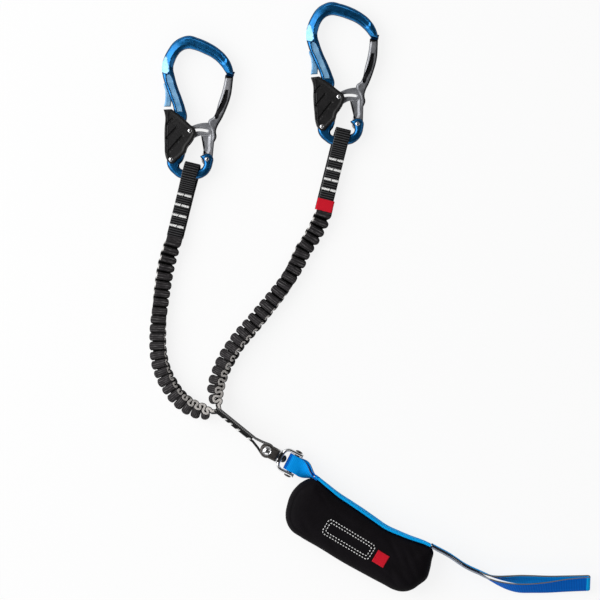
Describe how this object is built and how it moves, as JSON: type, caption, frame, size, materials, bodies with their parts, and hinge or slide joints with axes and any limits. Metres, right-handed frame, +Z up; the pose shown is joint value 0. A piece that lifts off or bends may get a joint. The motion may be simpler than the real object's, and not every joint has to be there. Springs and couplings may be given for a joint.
{
  "type": "via ferrata lanyard",
  "caption": "Y-shaped climbing lanyard laid flat: palm-lever carabiners on pleated elastic arms, swivel with shackle, energy absorber in a pouch, webbing harness loop.",
  "frame": {"origin": "under the centre of the swivel rivet, at table level, on the rivet's flat lower face", "axes": "+Z up from the table; +Y up the arms towards the carabiners; +X across them, towards the harness loop's side"},
  "size_m": [0.3933, 0.5307, 0.026],
  "materials": {
    "anodised_blue": "blue anodised, satin",
    "forged_grey": "hot forged, dark grey anodised",
    "moulded_black": "moulded, matt",
    "polished_steel": "polished stainless steel",
    "spring_wire": "drawn wire",
    "dark_steel": "blackened steel",
    "white_thread": "dense zigzag stitching",
    "label_red": "woven label",
    "webbing_black": "ribbed polyamide webbing",
    "elastic_band": "pleated elastic webbing, white and grey weave",
    "webbing_blue": "smooth polyamide webbing",
    "pouch_cloth": "neoprene",
    "piping_cloth": "bound edge"
  },
  "bodies": {
    "stem": {"stem_loop": "webbing_black", "stem_core": "webbing_black", "stem_tack_1": "white_thread", "stem_tack_2": "white_thread", "stem_tack_3": "white_thread", "stem_tack_4": "white_thread", "swivel_bush": "polished_steel", "elastic_arm_left": "elastic_band", "elastic_arm_right": "elastic_band"},
    "sleeve_left_group": {"sleeve_left": "webbing_black", "sleeve_tack_left_1": "white_thread", "sleeve_tack_left_2": "white_thread", "sleeve_tack_left_3": "white_thread", "sleeve_tack_left_4": "white_thread"},
    "carabiner_left": {"carabiner_body_left": "anodised_blue", "lever_rivet_left": "polished_steel", "gate_rivet_left": "polished_steel", "lever_spring_left": "spring_wire"},
    "gate_left": {"carabiner_gate_left": "forged_grey", "gate_spring_left": "spring_wire"},
    "lever_left": {"palm_lever_left": "moulded_black", "latch_pin_left": "polished_steel"},
    "sleeve_right_group": {"sleeve_right": "webbing_black", "sleeve_tack_right_1": "white_thread", "sleeve_tack_right_2": "white_thread", "sleeve_tack_right_3": "white_thread", "sleeve_tack_right_4": "white_thread", "sleeve_label": "label_red"},
    "carabiner_right": {"carabiner_body_right": "anodised_blue", "lever_rivet_right": "polished_steel", "gate_rivet_right": "polished_steel", "lever_spring_right": "spring_wire"},
    "gate_right": {"carabiner_gate_right": "forged_grey", "gate_spring_right": "spring_wire"},
    "lever_right": {"palm_lever_right": "moulded_black", "latch_pin_right": "polished_steel"},
    "swivel": {"swivel_head": "dark_steel", "swivel_rivet": "polished_steel", "swivel_collar": "polished_steel", "swivel_spindle": "dark_steel"},
    "shackle_group": {"shackle": "polished_steel", "shackle_pin": "dark_steel"},
    "absorber": {"front_loop": "webbing_blue", "top_strap": "webbing_blue", "pouch_front": "pouch_cloth", "pouch_back": "pouch_cloth", "pouch_piping": "piping_cloth", "tear_webbing": "webbing_blue", "tail_loop": "webbing_blue"}
  },
  "joints": [
    {"name": "arm_stretch_left", "type": "slide", "parent": "stem", "child": "sleeve_left_group", "axis": [0.2419, 0.9703, 0], "range_m": [0, 0.3], "stiffness_N_per_m": 40},
    {"name": "carabiner_swing_left", "type": "hinge", "parent": "sleeve_left_group", "child": "carabiner_left", "pos_m": [-0.0672, 0.2477, 0.0085], "axis": [1, 0, 0], "range_deg": [-50, 50]},
    {"name": "gate_left_hinge", "type": "hinge", "parent": "carabiner_left", "child": "gate_left", "pos_m": [-0.05385, 0.2608, 0.0085], "axis": [0, 0, 1], "range_deg": [0, 27], "stiffness_Nm_per_rad": 0.12, "springref_deg": -20.05},
    {"name": "lever_left_hinge", "type": "hinge", "parent": "carabiner_left", "child": "lever_left", "pos_m": [-0.08595, 0.26054, 0.0085], "axis": [0, 0, -1], "range_deg": [0, 8], "stiffness_Nm_per_rad": 0.2, "springref_deg": -8.59},
    {"name": "arm_stretch_right", "type": "slide", "parent": "stem", "child": "sleeve_right_group", "axis": [0.2419, 0.9703, 0], "range_m": [0, 0.3], "stiffness_N_per_m": 40},
    {"name": "carabiner_swing_right", "type": "hinge", "parent": "sleeve_right_group", "child": "carabiner_right", "pos_m": [0.0687, 0.2784, 0.0085], "axis": [0.9976, 0.0698, 0], "range_deg": [-50, 50]},
    {"name": "gate_right_hinge", "type": "hinge", "parent": "carabiner_right", "child": "gate_right", "pos_m": [0.08111, 0.2924, 0.0085], "axis": [0, 0, 1], "range_deg": [0, 27], "stiffness_Nm_per_rad": 0.12, "springref_deg": -20.05},
    {"name": "lever_right_hinge", "type": "hinge", "parent": "carabiner_right", "child": "lever_right", "pos_m": [0.0491, 0.2899, 0.0085], "axis": [0, 0, -1], "range_deg": [0, 8], "stiffness_Nm_per_rad": 0.2, "springref_deg": -8.59},
    {"name": "swivel_turn", "type": "hinge", "parent": "stem", "child": "swivel", "pos_m": [0, 0, 0.01155], "axis": [0, 0, 1], "range_deg": [-45, 45]},
    {"name": "shackle_spin", "type": "hinge", "parent": "swivel", "child": "shackle_group", "pos_m": [0, 0, 0.01155], "axis": [0.891, -0.454, 0], "continuous": true},
    {"name": "absorber_swing", "type": "hinge", "parent": "shackle_group", "child": "absorber", "pos_m": [0.02352, -0.01199, 0.01155], "axis": [0.454, 0.891, 0], "range_deg": [-45, 45]}
  ],
  "couplings": [
    {"joint": "lever_left_hinge", "follows": "gate_left_hinge", "ratio": 0.2963},
    {"joint": "lever_right_hinge", "follows": "gate_right_hinge", "ratio": 0.2963}
  ]
}
